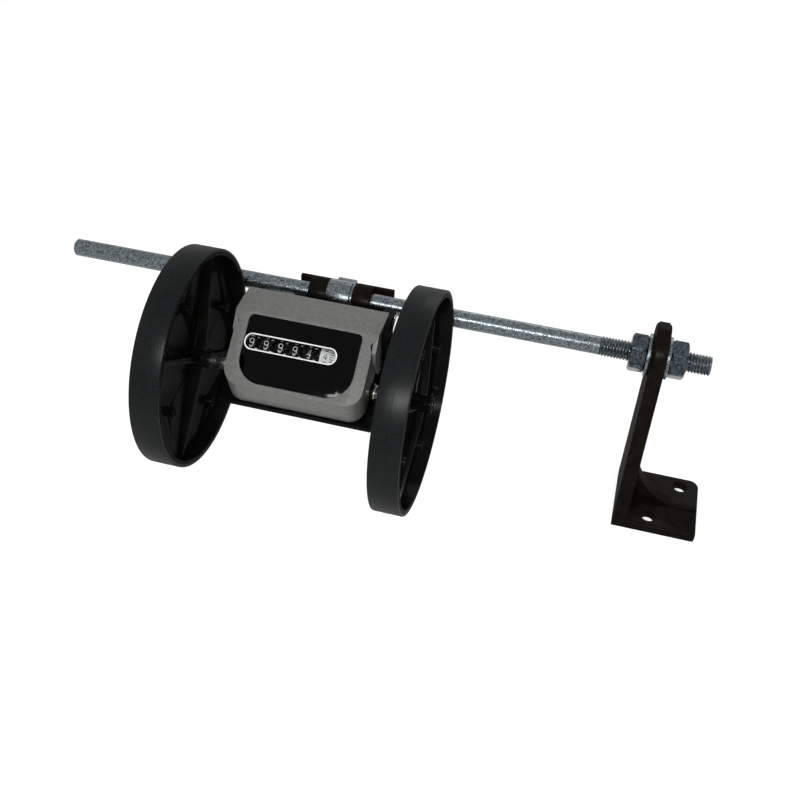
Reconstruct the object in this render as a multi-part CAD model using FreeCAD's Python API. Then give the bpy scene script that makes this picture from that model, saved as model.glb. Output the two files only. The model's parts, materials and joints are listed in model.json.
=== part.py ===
import FreeCAD, Part
import math
import os

# Cable length counter: two measuring wheels turn the number drums of a counter that hangs on a
# rod, and the rod is held by a cast foot. Sizes are in millimetres.
# Row frame: origin at the middle of the foot's underside, +X along the rod towards the foot's
# outer side, +Y away from the reader, +Z up.

V = FreeCAD.Vector
AXIS_X = V(1, 0, 0)

# Driving sizes: wheels
WHEEL_TURN = 1000.0 / 3          # cable length for one turn: three turns to the metre
WHEEL_R = WHEEL_TURN / (2 * math.pi)
WHEEL_WIDTH = 14.0
WHEEL_GAP = 95.0                 # between the wheels' inner faces
TREAD = 1.6                      # thickness of the tread band
RIM = 1.7                        # thickness of the wheel's rim under the band
WEB_BACK = 1.5                   # faces of the wheel's disc, from its middle plane
WEB_FRONT = 0.6
HUB_REACH = 9.5                  # from the wheel's middle plane, on the dished side
HUB_BACK = 6.0
HUB_R = 4.3
RIB = 2.6
RIB_TURN = 57.0                  # direction of the first of the four ribs
RIB_HIGH = 6.0                   # at the hub; the ribs slope down to the rim
RIB_LOW = 2.5
POST_R = 2.4                     # short tubes, one between each pair of ribs
POST_HOLE_R = 1.4
POST_TIP = 5.0
POST_CIRCLE = 34.0

# Driving sizes: rod, foot and their fasteners (M10)
ROD_LENGTH = 333.0
ROD_R = 4.5                      # shank of a rod with a rolled thread
THREAD_R = 5.0
THREAD_LENGTH = 54.0
ROD_HEIGHT = 98.5                # above the foot's underside
FOOT_LENGTH = 43.4
FOOT_DEPTH = 42.0
FOOT_THICK = 4.8
ARM_THICK = 7.2
ARM_DEPTH = 32.0
CROWN_RISE = 1.2                 # middle of the arm's round top above the rod's axis
GUSSET_HALF = 3.5
GUSSET_RISE = 26.0
GUSSET_REACH = 27.5
RIDGE = 0.8                      # low ridge that carries the gusset on to the foot's end
FOOT_HOLE_R = 3.6
FOOT_HOLE_X = 4.2
FOOT_HOLE_STEP_X = 15.2
FOOT_HOLE_STEP_Y = 27.2
NUT_AF = 17.0
NUT_THICK = 8.0
NUT_TURN = 12.0
WASHER_R = 10.5
WASHER_THICK = 2.0

# Driving sizes: where the counter sits
WHEEL_BACK = 60.5                # wheel axis in front of the rod
WHEEL_DROP = 6.8                 # and below it
COUNTER_X = -178.0               # middle of the counter's housing
READ_ANGLE = 50.0                # elevation of the window's normal

# Driving sizes: housing
HALF_WIDTH = 34.3
BEZEL_HALF = 33.0
WINDOW_OUT = 18.5                # bezel plane, measured from the wheel axis along its normal
WALL = 2.0
WINDOW_W = 54.1
WINDOW_TOP = 22.2
WINDOW_BOTTOM = -9.5
WINDOW_SINK = 0.7
PANEL = 1.6
SLOT_UP = 9.3                    # middle of the number slot, along the window plane
SLOT_LEFT = -26.4
SLOT_RIGHT = 16.9
SLOT_HIGH = 6.6
LENS = 1.1
SIDE_IN = 28.4                   # inner faces of the chassis' side plates, from the middle
SIDE_OUT = 30.3
COVER_IN = 30.5                  # inner faces of the cover's side walls
FLOOR_HALF = 37.2                # the chassis' floor stands out under the cover
BOSS_R = 5.6                     # bearing bosses on the side plates
BOSS_REACH = 33.4

# Driving sizes: mechanism
SHAFT_R = 2.5                    # wheel shaft in the hubs and bushes
SHAFT_THIN_R = 2.0               # where it passes under the drums
SHAFT_NECK_R = 1.5               # under the pinion
GEAR_MODULE = 0.5
DRIVE_TEETH = 11
TENTHS_TEETH = 33                # one turn of the last drum to the metre
DRUM_R = 8.7
DRUM_PITCH = 7.0
DRUM_GAP = 0.4
DRUM_COUNT = 6
CARRY_MODULE = 0.75
DRUM_TEETH = 20
PINION_TEETH = 8
PINION_ANGLE = 19.0              # direction of the pinion shaft from the drum shaft
DRUM_SHAFT_R = 1.5
BUSH_R = 3.6
PIN_R = 1.5                      # side pin, through the chassis' ears and the saddle's webs
PIN_REACH = 36.4
SPACER_R = 3.4                   # sleeves on the shaft between the bushes and the wheels
SPACER_END = 43.0
RUN = 0.05                       # radial running clearance

# Driving sizes: saddle and collar on the rod
SADDLE_HALF = 24.9
LUG_IN = 6.9
LUG_OUT = 15.9
LUG_R = 8.3
COLLAR_R = 8.2
COLLAR_HALF = 6.6
SADDLE_SCREW_R = 2.0             # M4 hexagon screws
SADDLE_SCREW_AF = 7.0
SADDLE_SCREW_X = 18.0
SADDLE_SCREW_Z = 4.0
STOP_ANGLE = -6.0                # the set screw points to the back, a little downwards
SCREW_R = 2.5
SCREW_WIDE = 10.0                # square head
SCREW_HEAD = 4.2

# Sizes that follow
arm_x = -FOOT_LENGTH / 2
rod_end_x = arm_x + 29.2
rod_free_x = rod_end_x - ROD_LENGTH
wheel_y = -WHEEL_BACK
wheel_z = ROD_HEIGHT - WHEEL_DROP
left_wheel_x = COUNTER_X - 56.0
right_wheel_x = left_wheel_x + WHEEL_GAP + WHEEL_WIDTH
read = math.radians(READ_ANGLE)
normal = V(0, -math.cos(read), math.sin(read))
upward = V(0, math.sin(read), math.cos(read))
drum_distance = GEAR_MODULE * (DRIVE_TEETH + TENTHS_TEETH) / 2
drum_out = math.sqrt(drum_distance ** 2 - SLOT_UP ** 2)
drum_axis = normal * drum_out + upward * SLOT_UP
carry_distance = CARRY_MODULE * (DRUM_TEETH + PINION_TEETH) / 2
pinion_turn = math.radians(PINION_ANGLE)
pinion_axis = drum_axis + V(0, math.cos(pinion_turn), math.sin(pinion_turn)) * carry_distance
rod_from_wheel = V(0, WHEEL_BACK, WHEEL_DROP)
pin_axis = V(0, 28.3, 23.8)


def cylinder(radius, x0, x1, centre=V(0, 0, 0)):
    return Part.makeCylinder(radius, x1 - x0, V(x0, centre.y, centre.z), AXIS_X)


def ring(outer, inner, x0, x1, centre=V(0, 0, 0)):
    return cylinder(outer, x0, x1, centre).cut(cylinder(inner, x0 - 1, x1 + 1, centre))


def box(x0, x1, y0, y1, z0, z1):
    return Part.makeBox(x1 - x0, y1 - y0, z1 - z0, V(x0, y0, z0))


def yz(x=0.0):
    # Places plane coordinates (y, z) in the plane at this x.
    return lambda a, b: V(x, a, b)


def on_window(out):
    # Places plane coordinates (x, up the window) on a plane parallel to the window.
    return lambda a, b: V(a, 0, 0) + normal * out + upward * b


def loop(corners, place):
    # Closed wire through corners (a, b, radius), with a tangent arc at each rounded one.
    count = len(corners)
    spans = []
    for i, (a, b, radius) in enumerate(corners):
        here = V(a, b, 0)
        before = V(corners[i - 1][0], corners[i - 1][1], 0) - here
        after = V(corners[(i + 1) % count][0], corners[(i + 1) % count][1], 0) - here
        if radius <= 0:
            spans.append((here, None, here))
            continue
        half = before.getAngle(after) / 2
        back = radius / math.tan(half)
        start = here + before.normalize() * back
        end = here + after.normalize() * back
        inward = (before + after).normalize()
        middle = here + inward * (radius / math.sin(half) - radius)
        spans.append((start, middle, end))
    edges = []
    for i, (start, middle, end) in enumerate(spans):
        if middle is not None:
            edges.append(Part.Arc(*[place(p.x, p.y) for p in (start, middle, end)]).toShape())
        following = spans[(i + 1) % count][0]
        if (following - end).Length > 1e-6:
            edges.append(Part.makeLine(place(end.x, end.y), place(following.x, following.y)))
    return Part.Wire(edges)


def prism_x(corners, x0, x1):
    return Part.Face(loop(corners, yz(x0))).extrude(V(x1 - x0, 0, 0))


def plate_on_window(corners, out, depth):
    # A plate whose front face lies on the plane at this distance; it goes back by the depth.
    return Part.Face(loop(corners, on_window(out))).extrude(normal * -depth)


def hexagon(across_flats, x0, x1, centre, turn=0.0):
    radius = across_flats / math.sqrt(3)
    points = []
    for i in range(6):
        angle = math.radians(60 * i + turn)
        points.append((centre.y + radius * math.cos(angle), centre.z + radius * math.sin(angle), 0))
    return prism_x(points, x0, x1)


def gear(teeth, module, x0, x1, centre, turn=0.0, thin=0.0, tip=1.0, root=1.2):
    # Spur gear whose flanks run straight from root to tip; thin takes width off each tooth.
    pitch_r = teeth * module / 2
    base_r = pitch_r * math.cos(math.radians(20))
    tip_r = pitch_r + tip * module
    root_r = pitch_r - root * module
    half_pitch = math.pi / (2 * teeth) - thin / (2 * pitch_r)

    def roll(radius):
        return math.tan(math.acos(base_r / radius)) - math.acos(base_r / radius)

    tip_half = half_pitch + roll(pitch_r) - roll(tip_r)
    root_half = half_pitch + (half_pitch - tip_half) * (pitch_r - root_r) / (tip_r - pitch_r) * 0.7
    flank = [(root_r, root_half), (tip_r, tip_half)]
    points = []
    for i in range(teeth):
        middle = 2 * math.pi * i / teeth + math.radians(turn)
        for radius, half in flank:
            points.append((radius, middle - half))
        for radius, half in reversed(flank):
            points.append((radius, middle + half))
    corners = [(centre.y + r * math.cos(a), centre.z + r * math.sin(a), 0) for r, a in points]
    return prism_x(corners, x0, x1)


def place_counter(shape):
    # From the wheel axis at the housing's middle to the row frame.
    return shape.translated(V(COUNTER_X, wheel_y, wheel_z))


parts = {}


def rod_and_fasteners():
    rod = cylinder(ROD_R, rod_free_x, rod_end_x - THREAD_LENGTH + 1)
    rod = rod.fuse(cylinder(THREAD_R, rod_end_x - THREAD_LENGTH, rod_end_x)).removeSplitter()
    ends = [e for e in rod.Edges if abs(e.BoundBox.XMin - e.BoundBox.XMax) < 1e-6
            and (abs(e.BoundBox.XMin - rod_free_x) < 1e-6 or abs(e.BoundBox.XMin - rod_end_x) < 1e-6)]
    parts["support_rod"] = rod.makeChamfer(0.9, ends)
    inner_face = arm_x
    outer_face = arm_x + ARM_THICK
    centre = V(0, 0, 0)
    for name, face, way in (("inner", inner_face, -1), ("outer", outer_face, 1)):
        near, far = sorted((face, face + way * WASHER_THICK))
        parts[name + "_washer"] = ring(WASHER_R, THREAD_R + RUN, near, far)
        start = face + way * WASHER_THICK
        near, far = sorted((start, start + way * NUT_THICK))
        nut = hexagon(NUT_AF, near, far, centre, NUT_TURN)
        parts[name + "_nut"] = nut.cut(cylinder(THREAD_R, near - 1, far + 1))
    for name in ("support_rod", "inner_washer", "outer_washer", "inner_nut", "outer_nut"):
        parts[name] = parts[name].translated(V(0, 0, ROD_HEIGHT))


def foot_bracket():
    # One casting: foot plate, upright arm with a round top, and a curved gusset between them.
    foot_right = arm_x + FOOT_LENGTH
    half = FOOT_DEPTH / 2
    outline = [(arm_x, -half, 0), (foot_right, -half, 1.5), (foot_right, half, 5.0), (arm_x, half, 0)]
    plate = Part.Face(loop(outline, lambda a, b: V(a, b, 0))).extrude(V(0, 0, FOOT_THICK))
    edges = [e for e in plate.Edges if e.BoundBox.ZMin > FOOT_THICK - 0.01 and e.BoundBox.XMax > arm_x + 0.01]
    plate = plate.makeChamfer(0.7, edges)
    arm_half = ARM_DEPTH / 2
    crown_z = ROD_HEIGHT + CROWN_RISE
    arm = [(-half, 0, 0), (half, 0, 0), (arm_half, crown_z, 0), (-arm_half, crown_z, 0)]
    crown = Part.makeCylinder(arm_half, ARM_THICK, V(arm_x, 0, crown_z), AXIS_X)
    crown = crown.makeChamfer(1.4, [crown.Edges[0], crown.Edges[2]])
    start = V(arm_x + ARM_THICK - 0.5, -GUSSET_HALF, FOOT_THICK - 0.5)
    top = start + V(0, 0, GUSSET_RISE)
    toe = start + V(GUSSET_REACH, 0, 0)
    low = start + V(GUSSET_REACH * 0.28, 0, GUSSET_RISE * 0.43)
    curve = Part.Arc(top, low, toe).toShape()
    gusset = Part.Wire([Part.makeLine(toe, start), Part.makeLine(start, top), curve])
    bracket = plate.fuse(prism_x(arm, arm_x, arm_x + ARM_THICK)).fuse(crown)
    bracket = bracket.fuse(Part.Face(gusset).extrude(V(0, 2 * GUSSET_HALF, 0)))
    bracket = bracket.fuse(box(start.x, foot_right - 0.7, -GUSSET_HALF, GUSSET_HALF, 1.0, FOOT_THICK + RIDGE))
    for way in (-1, 1):
        at = V(FOOT_HOLE_X + way * FOOT_HOLE_STEP_X / 2, way * FOOT_HOLE_STEP_Y / 2, -1)
        bracket = bracket.cut(Part.makeCylinder(FOOT_HOLE_R, FOOT_THICK + 2, at))
    bracket = bracket.cut(cylinder(THREAD_R + RUN, arm_x - 1, arm_x + ARM_THICK + 1, V(0, 0, ROD_HEIGHT)))
    parts["foot_bracket"] = bracket.removeSplitter()


def collar_on_rod():
    # Set collar between the saddle's lugs, with a thin ring beside it and a square-headed set screw.
    body_right = COLLAR_HALF - 1.4
    collar = ring(COLLAR_R, ROD_R, -COLLAR_HALF, body_right)
    way = FreeCAD.Rotation(AXIS_X, STOP_ANGLE).multVec(V(0, 1, 0))
    seat = COLLAR_R - 0.4
    spot = Part.makeCylinder(SCREW_WIDE / 2 + 2.2, 3.0, way * seat, way)
    hole = Part.makeCylinder(SCREW_R, 12.0, V(0, 0, 0), way)
    parts["rod_collar"] = collar.cut(spot).cut(hole)
    parts["collar_ring"] = ring(COLLAR_R - 0.5, ROD_R, body_right + 0.1, COLLAR_HALF)
    half = SCREW_WIDE / 2
    head = box(-half, half, seat, seat + SCREW_HEAD, -half, half)
    rear = [e for e in head.Edges if e.BoundBox.YMin > seat + SCREW_HEAD - 0.01]
    head = head.makeChamfer(0.8, rear)
    stem = Part.makeCylinder(SCREW_R, seat - ROD_R + 0.5, V(0, ROD_R, 0), V(0, 1, 0))
    screw = head.fuse(stem).removeSplitter()
    screw.rotate(V(0, 0, 0), AXIS_X, STOP_ANGLE)
    parts["collar_screw"] = screw
    for name in ("rod_collar", "collar_ring", "collar_screw"):
        parts[name] = parts[name].translated(V(COUNTER_X, 0, ROD_HEIGHT))


def bezel_outline(half, bottom, grow):
    # Outline of the raised front, seen along the window's normal, with a waist under the hood.
    right = [(half + grow, bottom, 8.0), (half - 0.1 + grow, 13.6, 4.0), (half - 1.7 + grow, 18.2, 2.5),
             (HALF_WIDTH, 22.4, 0.5), (HALF_WIDTH, 23.8, 0.0)]
    left = [(-a, b, r) for a, b, r in reversed(right)]
    return right + left


def inner_outline(bottom):
    # The cover's room inside its walls, straight up the sides.
    top = 22.4
    return [(COVER_IN, bottom, 6.0), (COVER_IN, top, 0), (-COVER_IN, top, 0), (-COVER_IN, bottom, 6.0)]


def front_cover():
    # Moulded cover: raised front with the window, hood over the top and a tongue down each side.
    back_out = 4.0
    low = -11.5
    low_back = low - (WINDOW_OUT - back_out) * math.tan(math.radians(18))
    front = loop(bezel_outline(BEZEL_HALF, low, 0), on_window(WINDOW_OUT))
    back = loop(bezel_outline(BEZEL_HALF, low_back, 0.5), on_window(back_out))
    block = Part.makeLoft([front, back], True, True)
    behind = [(13.2, 0.0, 0), (13.2, 14.0, 0), (11.2, 22.5, 0), (11.5, 25.7, 0), (15.0, 27.4, 0),
              (30.0, 27.4, 0), (30.0, 0.0, 0)]
    block = block.cut(prism_x(behind, -HALF_WIDTH - 1, HALF_WIDTH + 1))
    crease = normal * WINDOW_OUT + upward * 23.8
    hood_top = [(crease.y, crease.z, 0), (24.0, 30.0, 0.8), (23.6, 28.0, 0.5), (15.0, 27.4, 0), (2.0, 20.0, 0)]
    hood = prism_x(hood_top, -HALF_WIDTH, HALF_WIDTH)
    inner_front = loop(inner_outline(low + WALL), on_window(WINDOW_OUT - WALL))
    inner_back = loop(inner_outline(low_back + WALL), on_window(back_out - 0.5))
    inside = Part.makeLoft([inner_front, inner_back], True, True)
    room = [(0.0, 18.0, 0), (1.0, 23.6, 0), (8.6, 27.6, 0), (30.0, 27.6, 0), (30.0, 2.0, 0), (-8.0, 2.0, 0)]
    inner_half = HALF_WIDTH - WALL
    cover = block.fuse(hood).cut(inside).cut(prism_x(room, -inner_half, inner_half))
    tongue = [(crease.y, crease.z, 0), (20.0, 29.8, 0), (15.4, 29.2, 1.5), (11.5, 25.7, 2.0), (11.2, 22.5, 3.0),
              (13.2, 14.0, 3.0), (13.5, 4.2, 1.0), (6.5, 6.2, 1.0), (1.0, 16.0, 4.0), (0.5, 22.5, 0)]
    for way in (-1, 1):
        x0, x1 = sorted((way * inner_half, way * HALF_WIDTH))
        cover = cover.fuse(prism_x(tongue, x0, x1))
        x0, x1 = sorted((way * COVER_IN, way * (HALF_WIDTH + 1)))
        cover = cover.cut(cylinder(BOSS_R + 0.25, x0, x1))
        cover = cover.cut(cylinder(DRUM_SHAFT_R + 0.6, x0, x1, pinion_axis))
    cover = cover.cut(plate_on_window(window_outline(0.15), WINDOW_OUT + 1, 6.0))
    parts["front_cover"] = cover.removeSplitter()


def window_outline(gap):
    half = WINDOW_W / 2 + gap
    return [(half, WINDOW_BOTTOM - gap, 12.0), (half, WINDOW_TOP + gap, 2.6),
            (-half, WINDOW_TOP + gap, 2.6), (-half, WINDOW_BOTTOM - gap, 12.0)]


def slot_outline(gap):
    low = SLOT_UP - SLOT_HIGH / 2 - gap
    high = SLOT_UP + SLOT_HIGH / 2 + gap
    radius = SLOT_HIGH / 2 + gap - 0.3
    return [(SLOT_RIGHT + gap, low, radius), (SLOT_RIGHT + gap, high, radius),
            (SLOT_LEFT - gap, high, radius), (SLOT_LEFT - gap, low, radius)]


def window():
    front = WINDOW_OUT - WINDOW_SINK
    panel = plate_on_window(window_outline(0), front, PANEL)
    parts["window_panel"] = panel.cut(plate_on_window(slot_outline(0), front + 1, PANEL + 2))
    parts["slot_lens"] = plate_on_window(slot_outline(-0.05), front - 0.2, LENS)


def rear_base():
    # Black moulded chassis: floor, back wall and two side plates that carry the shafts.
    frame_out = HALF_WIDTH - 0.4
    floor_top = -8.6
    floor = [(-15.6, -10.6, 0), (16.0, -10.6, 0), (16.0, floor_top, 0), (-15.6, floor_top, 0)]
    base = prism_x(floor, -FLOOR_HALF, FLOOR_HALF)
    wall = [(15.0, -10.6, 0), (21.0, -10.6, 0), (26.0, -5.0, 0), (26.0, 24.0, 0), (23.4, 27.4, 0),
            (16.0, 27.4, 0), (16.0, 25.4, 0), (23.6, 25.4, 0), (23.6, -4.5, 0), (20.2, floor_top, 0),
            (15.0, floor_top, 0)]
    base = base.fuse(prism_x(wall, -SIDE_OUT, SIDE_OUT))
    plate = [(-9.5, -9.0, 0), (-8.6, -2.0, 0), (-10.6, 5.6, 0), (-6.5, 12.0, 0), (1.0, 21.5, 0),
             (14.0, 26.0, 0), (24.0, 26.0, 0), (24.0, -9.0, 0)]
    frame = [(15.0, -10.6, 0), (21.0, -10.6, 0), (26.0, -5.0, 0), (26.0, 18.6, 2.0), (31.0, 22.0, 2.0),
             (31.0, 26.6, 2.0), (23.4, 27.4, 0), (16.6, 27.4, 0), (12.8, 24.6, 0), (12.5, 22.5, 0), (15.0, 14.0, 0)]
    pockets = [[(17.0, 21.0, 0), (24.0, 21.0, 0), (23.4, 25.0, 0), (16.0, 25.0, 0)],
               [(17.2, 7.0, 0), (23.8, 7.0, 0), (23.8, 19.2, 0), (16.4, 19.2, 0)]]
    for way in (-1, 1):
        x0, x1 = sorted((way * SIDE_IN, way * SIDE_OUT))
        base = base.fuse(prism_x(plate, x0, x1))
        x0, x1 = sorted((way * (SIDE_OUT - 0.2), way * frame_out))
        rim = prism_x(frame, x0, x1)
        for pocket in pockets:
            x2, x3 = sorted((way * SIDE_OUT, way * (frame_out + 1)))
            rim = rim.cut(prism_x(pocket, x2, x3))
        x0, x1 = sorted((way * SIDE_IN, way * BOSS_REACH))
        base = base.fuse(rim).fuse(cylinder(BOSS_R, x0, x1))
    base = base.cut(cylinder(BUSH_R, -60, 60))
    base = base.cut(cylinder(DRUM_SHAFT_R, -60, 60, drum_axis))
    base = base.cut(cylinder(DRUM_SHAFT_R, -60, 60, pinion_axis))
    base = base.cut(cylinder(PIN_R, -60, 60, pin_axis))
    for way in (-1, 1):
        at = V(way * SADDLE_SCREW_X, 20.0, SADDLE_SCREW_Z)
        base = base.cut(Part.makeCylinder(SADDLE_SCREW_R, 8.0, at, V(0, 1, 0)))
    parts["rear_base"] = base.removeSplitter()


def saddle():
    # Cast saddle: a pad on the chassis, two webs, and a trough with two lugs round the rod.
    pad = box(-SADDLE_HALF + 2, SADDLE_HALF - 2, 26.0, 29.0, -4.0, 14.0)
    trough_in = 8.9
    wall = 2.3
    back_top = 2.4
    front_top = 0.8
    section = [(-trough_in - wall, front_top, 0), (-trough_in - wall, -7.5, 3.5), (-7.5, -trough_in - wall, 3.5),
               (7.5, -trough_in - wall, 3.5), (trough_in + wall, -7.5, 3.5), (trough_in + wall, back_top, 0),
               (trough_in, back_top, 0), (trough_in, -6.4, 0), (6.4, -trough_in, 0),
               (-6.4, -trough_in, 0), (-trough_in, -6.4, 0), (-trough_in, front_top, 0)]
    section = [(a + rod_from_wheel.y, b + rod_from_wheel.z, r) for a, b, r in section]
    shape = prism_x(section, -SADDLE_HALF, SADDLE_HALF).fuse(pad)
    for way in (-1, 1):
        x0, x1 = sorted((way * LUG_IN, way * LUG_OUT))
        lug = cylinder(LUG_R, x0, x1, rod_from_wheel)
        bed = [(-trough_in - 0.5, -0.5, 0), (-trough_in - 0.5, -trough_in - 0.5, 0),
               (trough_in + 0.5, -trough_in - 0.5, 0), (trough_in + 0.5, 1.5, 0)]
        bed = [(a + rod_from_wheel.y, b + rod_from_wheel.z, r) for a, b, r in bed]
        lug = lug.fuse(prism_x(bed, x0, x1))
        x0, x1 = sorted((way * (LUG_IN + 2), way * (LUG_OUT - 2)))
        web = [(26.0, -3.5, 0), (51.0, -3.0, 0), (51.0, 5.5, 0), (42.0, 7.5, 0), (31.4, 21.0, 0), (31.4, 26.4, 2.0),
               (26.0, 26.4, 2.0)]
        shape = shape.fuse(lug).fuse(prism_x(web, x0, x1))
    shape = shape.cut(cylinder(ROD_R + RUN, -60, 60, rod_from_wheel))
    notch_floor = rod_from_wheel.z - SCREW_WIDE / 2 - 1.45
    notch = box(-5.6, 5.6, rod_from_wheel.y + 6.0, rod_from_wheel.y + 14, notch_floor, rod_from_wheel.z + 6)
    shape = shape.cut(notch).cut(cylinder(PIN_R, -60, 60, pin_axis))
    for way in (-1, 1):
        at = V(way * SADDLE_SCREW_X, 25.0, SADDLE_SCREW_Z)
        shape = shape.cut(Part.makeCylinder(SADDLE_SCREW_R, 6.0, at, V(0, 1, 0)))
    parts["saddle"] = shape.removeSplitter()
    screws = []
    for way in (-1, 1):
        at = V(way * SADDLE_SCREW_X, 20.6, SADDLE_SCREW_Z)
        screw = Part.makeCylinder(SADDLE_SCREW_R, 8.4, at, V(0, 1, 0))
        head = hexagon(SADDLE_SCREW_AF, 0, 2.8, V(0, 0, 0))
        head.rotate(V(0, 0, 0), V(0, 0, 1), 90)
        head.translate(at + V(0, 8.4, 0))
        screws.append(screw.fuse(head).removeSplitter())
    parts["saddle_screws"] = Part.makeCompound(screws)
    parts["side_pin"] = cylinder(PIN_R, -PIN_REACH, PIN_REACH, pin_axis)


def drums():
    # Six drums on one shaft. Each drum but the first gives a carry to its left neighbour through a
    # pinion: short carry teeth on its left side, full teeth on the neighbour's right side.
    names = ["drum_ten_thousands", "drum_thousands", "drum_hundreds", "drum_tens", "drum_units", "drum_tenths"]
    first = SLOT_LEFT - 1.5
    side = 1.2
    carry_r = carry_distance - CARRY_MODULE * (PINION_TEETH / 2 + 1) - 0.25
    for i, name in enumerate(names):
        x0 = first + DRUM_PITCH * i + DRUM_GAP / 2
        x1 = x0 + DRUM_PITCH - DRUM_GAP
        if name == "drum_tenths":
            x1 = SLOT_RIGHT
        band_left = x0 + (side if i > 0 else 0)
        band_right = x1 - (side if i < DRUM_COUNT - 1 else 0)
        shape = cylinder(DRUM_R, band_left, band_right, drum_axis)
        if i > 0:
            shape = shape.fuse(cylinder(carry_r, x0, band_left + 0.1, drum_axis))
        if i < DRUM_COUNT - 1:
            toothed = gear(DRUM_TEETH, CARRY_MODULE, band_right - 0.1, x1, drum_axis, PINION_ANGLE, 0.25, 0.9)
            shape = shape.fuse(toothed)
        parts[name] = shape.cut(cylinder(DRUM_SHAFT_R + RUN, x0 - 1, x1 + 1, drum_axis)).removeSplitter()
    gear_end = SLOT_RIGHT + 3.3
    towards_shaft = math.degrees(math.atan2(-drum_axis.z, -drum_axis.y))
    tenths = gear(TENTHS_TEETH, GEAR_MODULE, SLOT_RIGHT, gear_end, drum_axis, towards_shaft, 0.12, 0.9)
    parts["tenths_gear"] = tenths.cut(cylinder(DRUM_SHAFT_R + RUN, 0, 40, drum_axis))
    drive_turn = towards_shaft + 180 + 180.0 / DRIVE_TEETH
    drive = gear(DRIVE_TEETH, GEAR_MODULE, SLOT_RIGHT + 0.3, gear_end + 0.3, V(0, 0, 0), drive_turn, 0.12, 0.9)
    boss = cylinder(4.0, gear_end + 0.3, gear_end + 3.0)
    parts["drive_pinion"] = drive.fuse(boss).cut(cylinder(SHAFT_NECK_R, 0, 60)).removeSplitter()
    for i in range(1, DRUM_COUNT):
        middle = first + DRUM_PITCH * i
        half = side + DRUM_GAP / 2 - 0.3
        turn = PINION_ANGLE + 180 + 180.0 / PINION_TEETH
        pinion = gear(PINION_TEETH, CARRY_MODULE, middle - half, middle + half, pinion_axis, turn, 0.25, 0.9)
        pinion = pinion.cut(cylinder(DRUM_SHAFT_R + RUN, middle - 9, middle + 9, pinion_axis))
        parts["carry_pinion_%d" % i] = pinion


def shafts():
    reach_left = left_wheel_x - COUNTER_X - HUB_BACK + 0.6
    reach_right = right_wheel_x - COUNTER_X + HUB_REACH - 0.4
    shaft = cylinder(SHAFT_R, reach_left, -SIDE_IN + 0.3).fuse(cylinder(SHAFT_R, SIDE_IN - 0.3, reach_right))
    shaft = shaft.fuse(cylinder(SHAFT_THIN_R, -SIDE_IN, SLOT_RIGHT + 0.3))
    shaft = shaft.fuse(cylinder(SHAFT_NECK_R, SLOT_RIGHT, SLOT_RIGHT + 7.0))
    parts["wheel_shaft"] = shaft.fuse(cylinder(SHAFT_THIN_R, SLOT_RIGHT + 6.3, SIDE_IN)).removeSplitter()
    flange = BOSS_REACH + 0.8
    collars = []
    for name, way in (("left_bush", -1), ("right_bush", 1)):
        x0, x1 = sorted((way * SIDE_IN, way * flange))
        bush = ring(BUSH_R, SHAFT_R + RUN, x0, x1)
        x0, x1 = sorted((way * BOSS_REACH, way * flange))
        parts[name] = bush.fuse(ring(BUSH_R + 1.2, SHAFT_R + RUN, x0, x1)).removeSplitter()
        x0, x1 = sorted((way * (flange + 0.3), way * (flange + 1.1)))
        collars.append(ring(BUSH_R + 0.4, SHAFT_R, x0, x1))
        x0, x1 = sorted((way * (flange + 1.1), way * SPACER_END))
        parts[name.replace("bush", "spacer")] = ring(SPACER_R, SHAFT_R, x0, x1)
    parts["shaft_washers"] = Part.makeCompound(collars)
    parts["drum_shaft"] = cylinder(DRUM_SHAFT_R, -SIDE_OUT, SIDE_OUT, drum_axis)
    parts["pinion_shaft"] = cylinder(DRUM_SHAFT_R, -HALF_WIDTH, HALF_WIDTH, pinion_axis)


def wheel(middle_x, name):
    # Moulded wheel: hub, web, four tapering ribs and four short tubes on the dished side, and a rim.
    half = WHEEL_WIDTH / 2
    rim_out = WHEEL_R - TREAD
    rim_in = rim_out - RIM
    outline = [(-HUB_BACK, SHAFT_R), (-HUB_BACK, HUB_R), (-WEB_BACK, HUB_R), (-WEB_BACK, rim_in), (-half, rim_in),
               (-half, rim_out), (half, rim_out), (half, rim_in), (WEB_FRONT, rim_in), (WEB_FRONT, HUB_R),
               (HUB_REACH, HUB_R - 0.3), (HUB_REACH, SHAFT_R)]
    points = [V(x, r, 0) for x, r in outline]
    body = Part.Face(Part.makePolygon(points + points[:1])).revolve(V(0, 0, 0), AXIS_X, 360)
    side = -RIB / 2
    rib_points = [V(0, 3.4, side), V(RIB_HIGH, 3.4, side), V(RIB_HIGH, HUB_R + 0.2, side),
                  V(RIB_LOW, rim_in + 0.3, side), V(0, rim_in + 0.3, side)]
    for i in range(4):
        rib = Part.Face(Part.makePolygon(rib_points + rib_points[:1])).extrude(V(0, 0, RIB))
        rib.rotate(V(0, 0, 0), AXIS_X, 90 * i + RIB_TURN)
        body = body.fuse(rib)
        angle = math.radians(90 * i + 45 + RIB_TURN)
        at = V(0, math.cos(angle), math.sin(angle)) * POST_CIRCLE
        body = body.fuse(cylinder(POST_R, 0, POST_TIP, at))
        body = body.cut(cylinder(POST_HOLE_R, WEB_FRONT + 0.4, POST_TIP + 1, at))
    body = body.cut(cylinder(SHAFT_R, -20, 20))
    shift = V(middle_x - COUNTER_X, 0, 0)
    parts[name + "_wheel"] = body.removeSplitter().translated(shift)
    parts[name + "_tread"] = ring(WHEEL_R, rim_out, -half, half).translated(shift)


rod_and_fasteners()
foot_bracket()
collar_on_rod()
stand = set(parts)
front_cover()
window()
rear_base()
saddle()
drums()
shafts()
wheel(left_wheel_x, "left")
wheel(right_wheel_x, "right")
for name in parts:
    if name not in stand:
        parts[name] = place_counter(parts[name])

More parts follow.
